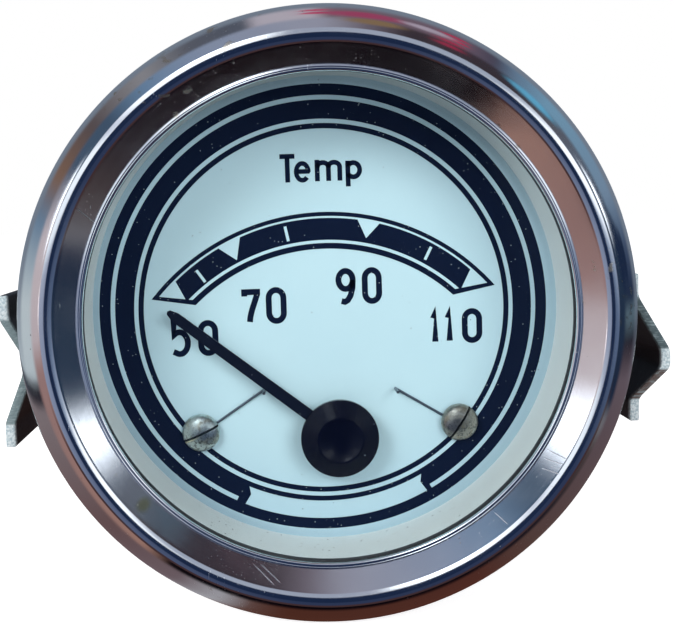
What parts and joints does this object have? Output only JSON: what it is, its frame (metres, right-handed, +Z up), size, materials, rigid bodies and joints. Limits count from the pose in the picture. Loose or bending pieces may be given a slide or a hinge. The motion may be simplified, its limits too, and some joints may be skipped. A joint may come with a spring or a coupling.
{
  "type": "dashboard temperature gauge",
  "caption": "Round electric dashboard temperature gauge: chrome bezel, white dial with a printed scale, black pointer, clamp bracket, thumb nuts, lamp holder and terminals.",
  "frame": {"origin": "on the case axis, in the plane of the bezel's back face, which seats on the panel", "axes": "+Z up, +X to the right of the dial as it is read, -Y out of the dial towards the reader"},
  "size_m": [0.0695, 0.062, 0.06],
  "materials": {
    "bezel_chrome": "bright plated brass, aged",
    "window_glass": "clear",
    "gasket_rubber": "matt",
    "ring_plastic": "cream, satin",
    "case_paint": "zinc plated steel, dull",
    "dial_print": "matt white with dark print",
    "screw_nickel": "nickel, tarnished",
    "wire_steel": "drawn wire",
    "pointer_black": "black, satin",
    "cap_black": "black, gloss",
    "arbor_steel": "polished",
    "magnet_ferrite": "sintered, matt",
    "movement_brass": "stamped",
    "former_plastic": "moulded, matt",
    "winding_copper": "enamelled copper wire",
    "resistor_ceramic": "matt",
    "plated_steel": "bright zinc",
    "insulating_fibre": "brown fibre",
    "terminal_brass": "turned",
    "bracket_zinc": "zinc plated sheet, dulled",
    "nut_brass": "knurled",
    "lamp_glass": "clear"
  },
  "bodies": {
    "case": {"bezel": "bezel_chrome", "glass": "window_glass", "glass_gasket": "gasket_rubber", "light_ring": "ring_plastic", "case_cup": "case_paint", "dial_plate": "dial_print", "dial_screws": "screw_nickel", "stop_wires": "wire_steel", "front_plate": "movement_brass", "back_plate": "movement_brass", "front_bush": "terminal_brass", "pivot_screw": "terminal_brass", "movement_posts": "movement_brass", "former_front": "former_plastic", "former_back": "former_plastic", "inner_winding": "winding_copper", "outer_winding": "winding_copper", "return_magnet": "magnet_ferrite", "series_resistor": "resistor_ceramic", "case_pillars": "plated_steel", "case_screws": "plated_steel", "coil_leads": "winding_copper", "terminals": "terminal_brass", "inner_insulators": "insulating_fibre", "outer_insulators": "insulating_fibre", "terminal_washers": "plated_steel", "terminal_nuts": "terminal_brass", "mounting_studs": "plated_steel"},
    "pointer": {"pointer_arm": "pointer_black", "hub_cap": "cap_black", "arbor": "arbor_steel", "rotor_magnet": "magnet_ferrite"},
    "clamp": {"bracket": "bracket_zinc", "spring_washers": "wire_steel"},
    "nut_left": {"thumb_nut_left": "nut_brass"},
    "nut_right": {"thumb_nut_right": "nut_brass"},
    "lamp": {"lamp_holder": "plated_steel", "lamp_contact": "terminal_brass", "lamp_bulb": "lamp_glass"}
  },
  "joints": [
    {"name": "pointer_turn", "type": "hinge", "parent": "case", "child": "pointer", "pos_m": [0.0008, 0.008, -0.0131], "axis": [0, 1, 0], "range_deg": [0, 98]},
    {"name": "clamp_slide", "type": "slide", "parent": "case", "child": "clamp", "axis": [0, -1, 0], "range_m": [-0.0014, 0.0042]},
    {"name": "nut_left_turn", "type": "hinge", "parent": "clamp", "child": "nut_left", "pos_m": [-0.019, 0.045, -0.0049], "axis": [0, -1, 0], "range_deg": [-720, 2160]},
    {"name": "nut_right_turn", "type": "hinge", "parent": "clamp", "child": "nut_right", "pos_m": [0.019, 0.045, -0.0049], "axis": [0, -1, 0], "range_deg": [-720, 2160]},
    {"name": "lamp_pull", "type": "slide", "parent": "case", "child": "lamp", "axis": [0, 1, 0], "range_m": [0, 0.022]}
  ],
  "couplings": [
    {"joint": "nut_left_turn", "follows": "clamp_slide", "rad_per_m": 8976},
    {"joint": "nut_right_turn", "follows": "clamp_slide", "rad_per_m": 8976}
  ]
}
